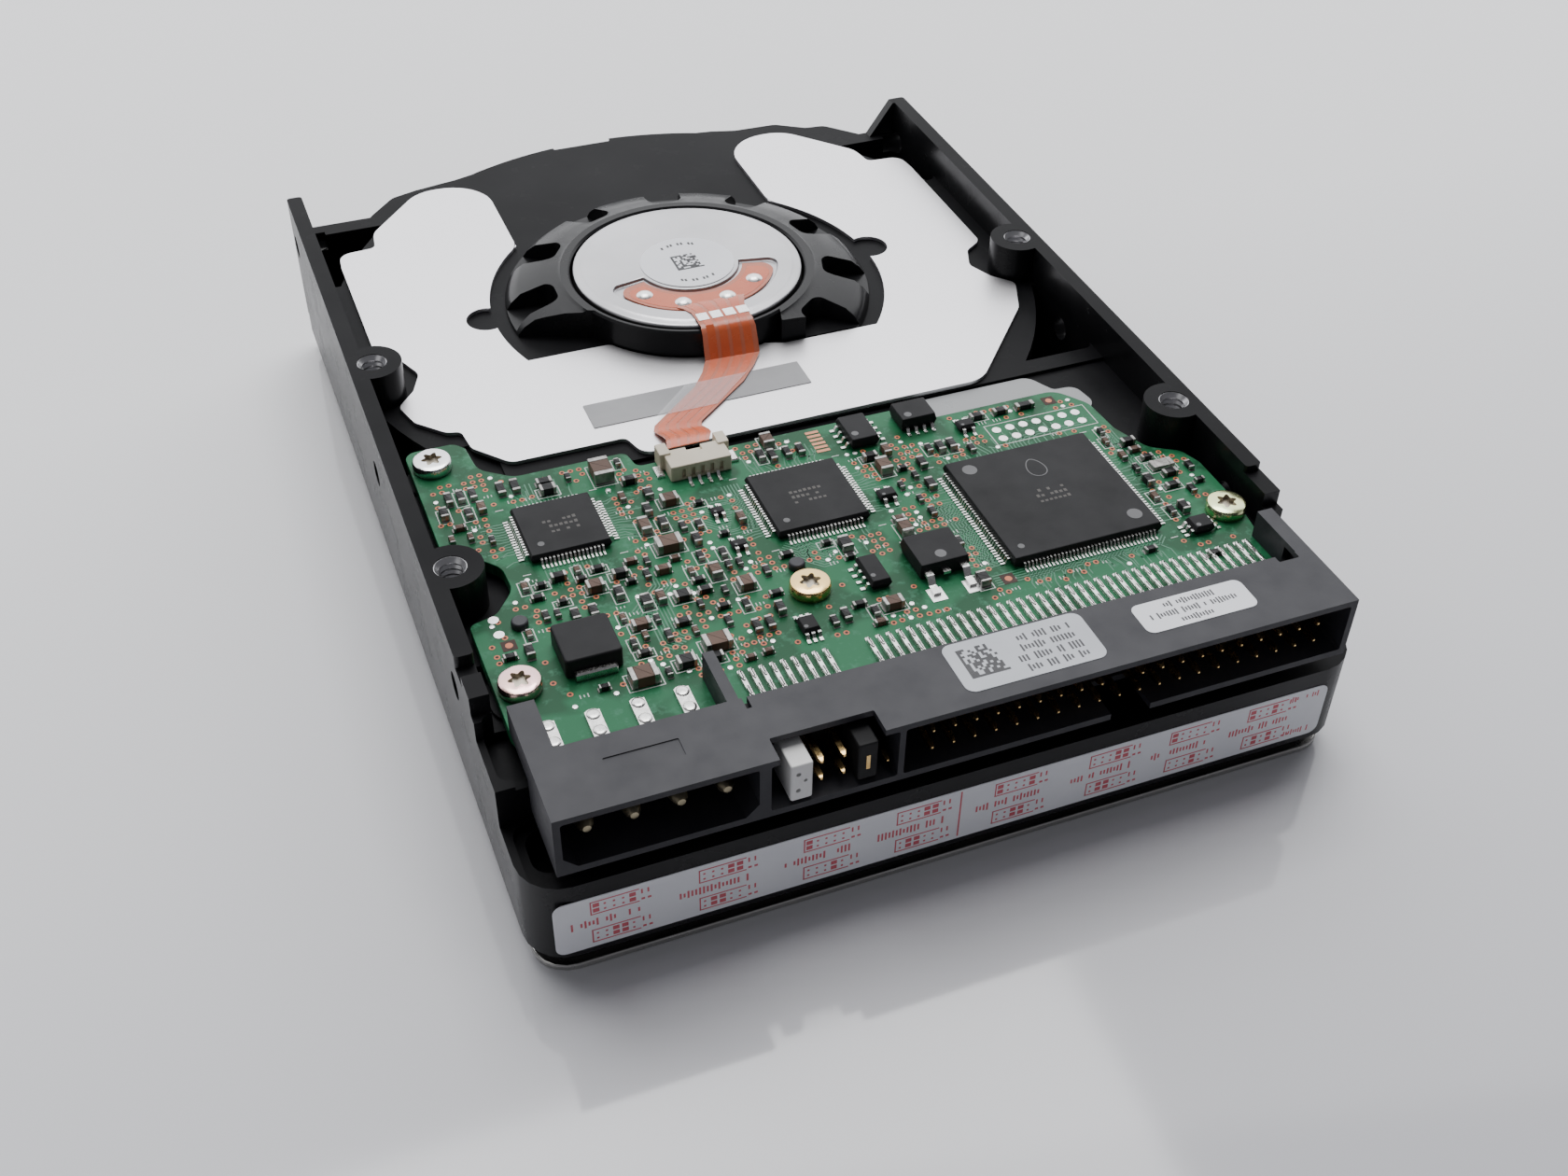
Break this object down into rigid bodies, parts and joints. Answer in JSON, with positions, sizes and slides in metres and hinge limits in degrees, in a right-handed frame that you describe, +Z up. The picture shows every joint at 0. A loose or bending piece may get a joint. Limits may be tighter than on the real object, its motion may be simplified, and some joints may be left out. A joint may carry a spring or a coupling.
{
  "type": "hard disk drive",
  "caption": "Compact hard disk drive with a cast base, board, spindle motor, disc stack, head actuator, sheet cover and a pin connector.",
  "frame": {"origin": "centre of the drive's footprint on the surface that the sheet cover rests on", "axes": "+Y along the length towards the spindle end, -Y the connector end, +Z up towards the circuit board, +X across the width"},
  "size_m": [0.1016, 0.1466, 0.0254],
  "materials": {
    "black_coat": "satin black electro-coat on die-cast aluminium",
    "cover_steel": "stainless sheet, fine satin grain",
    "rubber": "matt moulded rubber",
    "plate_steel": "bright rolled steel sheet with a soft sheen",
    "flex_film": "orange polyimide film over copper traces",
    "motor_aluminium": "turned aluminium",
    "copper_winding": "enamelled copper wire",
    "shaft_steel": "ground steel",
    "disc_mirror": "polished disc",
    "magnet_nickel": "nickel plate",
    "label_white": null,
    "strip_grey": "grey adhesive film",
    "board_green": "green solder mask over copper",
    "cream_plastic": "moulded cream nylon",
    "chip_plastic": "moulded black epoxy",
    "black_plastic": "glass-filled black nylon",
    "gold_pin": "gold plate",
    "tin_pin": "tin plate",
    "screw_steel": "zinc-plated steel"
  },
  "bodies": {
    "chassis": {"base_casting": "black_coat", "top_cover": "cover_steel", "cover_gasket": "rubber", "damping_plate": "plate_steel", "motor_flex": "flex_film", "motor_flange": "motor_aluminium", "motor_stator": "copper_winding", "spindle_shaft": "shaft_steel", "motor_label": "label_white", "pivot_shaft": "shaft_steel", "head_ramp": "cream_plastic", "magnet_yoke_upper": "shaft_steel", "magnet_yoke_lower": "shaft_steel", "voice_coil_magnet": "magnet_nickel", "air_filter": "cream_plastic", "head_connector": "cream_plastic", "circuit_board": "board_green", "insulator_film": "strip_grey", "motor_connector": "cream_plastic", "controller_chip": "chip_plastic", "channel_chip": "chip_plastic", "motor_driver_chip": "chip_plastic", "voltage_regulator": "chip_plastic", "power_inductor": "chip_plastic", "connector_housing": "black_plastic", "data_pins": "gold_pin", "power_pins": "tin_pin", "jumper_pins": "gold_pin", "code_label": "label_white", "plain_label": "label_white", "jumper_label": "label_white", "grey_strip": "strip_grey", "board_screw_1": "screw_steel", "board_screw_2": "gold_pin", "board_screw_3": "gold_pin", "board_screw_4": "gold_pin", "cover_screw_1": "screw_steel", "cover_screw_2": "screw_steel", "cover_screw_3": "screw_steel", "cover_screw_4": "screw_steel", "cover_screw_5": "screw_steel", "cover_screw_6": "screw_steel"},
    "spindle": {"spindle_hub": "motor_aluminium", "rotor_magnet": "magnet_nickel", "disk_clamp": "motor_aluminium", "platter_1": "disc_mirror", "platter_2": "disc_mirror", "platter_3": "disc_mirror", "disk_spacer_1": "motor_aluminium", "disk_spacer_2": "motor_aluminium"},
    "actuator": {"pivot_bearing": "shaft_steel", "actuator_arm": "motor_aluminium", "voice_coil": "copper_winding", "head_suspension_1": "shaft_steel", "head_suspension_2": "shaft_steel", "head_suspension_3": "shaft_steel", "head_suspension_4": "shaft_steel"},
    "latch": {"actuator_latch": "black_plastic"},
    "white_jumper": {"white_jumper": "cream_plastic"},
    "black_jumper": {"black_jumper": "black_plastic"}
  },
  "joints": [
    {"name": "spindle_spin", "type": "hinge", "parent": "chassis", "child": "spindle", "pos_m": [0, 0.0233, 0.008], "axis": [0, 0, 1], "continuous": true},
    {"name": "actuator_swing", "type": "hinge", "parent": "chassis", "child": "actuator", "pos_m": [0.018, -0.03, 0.008], "axis": [0, 0, -1], "range_deg": [0, 33]},
    {"name": "latch_swing", "type": "hinge", "parent": "chassis", "child": "latch", "pos_m": [0.002, -0.062, 0.008], "axis": [0, 0, 1], "range_deg": [0, 9]},
    {"name": "white_jumper_pull", "type": "slide", "parent": "chassis", "child": "white_jumper", "axis": [0, -1, 0], "range_m": [0, 0.006]},
    {"name": "black_jumper_pull", "type": "slide", "parent": "chassis", "child": "black_jumper", "axis": [0, -1, 0], "range_m": [0, 0.006]}
  ]
}
